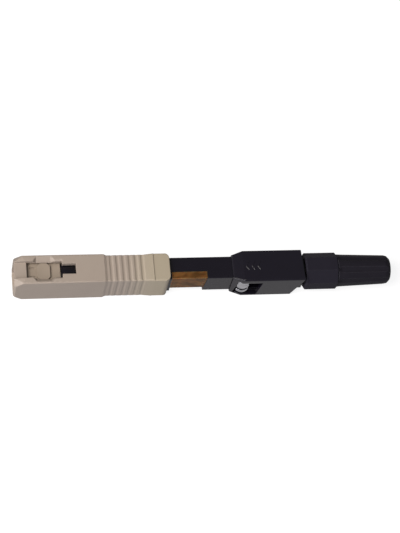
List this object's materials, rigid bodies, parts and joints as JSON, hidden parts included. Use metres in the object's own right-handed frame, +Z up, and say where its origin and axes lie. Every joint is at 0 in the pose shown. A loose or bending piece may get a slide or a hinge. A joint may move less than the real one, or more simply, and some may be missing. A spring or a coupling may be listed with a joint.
{
  "type": "field-installable sc fibre connector",
  "caption": "Rectangular push-pull fibre connector: beige sliding shell round a white ferrule, black neck with an amber splice window, locking slider, octagonal nut and fluted boot.",
  "frame": {"origin": "on the ferrule's axis, where the ferrule reaches its full diameter behind the tip's chamfer", "axes": "+X along the ferrule's axis from the mating end to the cable end; +Y towards the polarising key; +Z up, out of the shell's upper latch window"},
  "size_m": [0.0925, 0.0085, 0.009],
  "materials": {
    "shell_beige": "moulded beige engineering plastic, fine satin texture",
    "frame_beige": "moulded beige engineering plastic, slightly darker than the shell",
    "zirconia": "ground and polished white zirconia",
    "plated_brass": "turned brass with a bright nickel plating",
    "spring_steel": "drawn stainless spring wire",
    "silica": "bare glass fibre",
    "black_nylon": "moulded black glass-filled nylon, low sheen",
    "amber_resin": "clear amber engineering resin, moulded and glossy",
    "clip_steel": "rolled stainless strip",
    "groove_resin": "precision-moulded amber resin",
    "black_guide": "moulded black plastic",
    "black_slider": "moulded black nylon, low sheen",
    "leaf_steel": "polished stainless leaf",
    "black_nut": "moulded black nylon, low sheen",
    "ring_brass": "turned brass",
    "jaw_nylon": "moulded black nylon",
    "black_boot": "moulded black elastomer, low sheen"
  },
  "bodies": {
    "core": {"plug_frame": "frame_beige", "backbone": "black_nylon", "splice_body": "amber_resin", "clamp_spring": "clip_steel", "groove_base": "groove_resin", "groove_lid_front": "groove_resin", "groove_lid_rear": "groove_resin", "fibre_guide": "black_guide", "ferrule_spring": "spring_steel", "cable_jaw_left": "jaw_nylon", "cable_jaw_right": "jaw_nylon"},
    "shell": {"outer_shell": "shell_beige"},
    "ferrule_group": {"ferrule": "zirconia", "ferrule_flange": "plated_brass", "fibre_stub": "silica"},
    "slider": {"lock_slider": "black_slider", "detent_leaf": "leaf_steel"},
    "slip_ring": {"jaw_ring": "ring_brass"},
    "nut": {"cap_nut": "black_nut", "strain_boot": "black_boot"}
  },
  "joints": [
    {"name": "shell_slide", "type": "slide", "parent": "core", "child": "shell", "axis": [1, 0, 0], "range_m": [0, 0.0018]},
    {"name": "ferrule_float", "type": "slide", "parent": "core", "child": "ferrule_group", "axis": [1, 0, 0], "range_m": [0, 0.001], "stiffness_N_per_m": 1000, "deforming": ["ferrule_spring", "fibre_stub"]},
    {"name": "slider_lock", "type": "slide", "parent": "core", "child": "slider", "axis": [-1, 0, 0], "range_m": [0, 0.005]},
    {"name": "ring_travel", "type": "slide", "parent": "core", "child": "slip_ring", "axis": [1, 0, 0], "range_m": [0, 0.003]},
    {"name": "nut_turn", "type": "hinge", "parent": "slip_ring", "child": "nut", "pos_m": [0.06965, 0, 0], "axis": [1, 0, 0], "range_deg": [0, 1081]}
  ],
  "couplings": [
    {"joint": "nut_turn", "follows": "ring_travel", "rad_per_m": 6283.2}
  ]
}
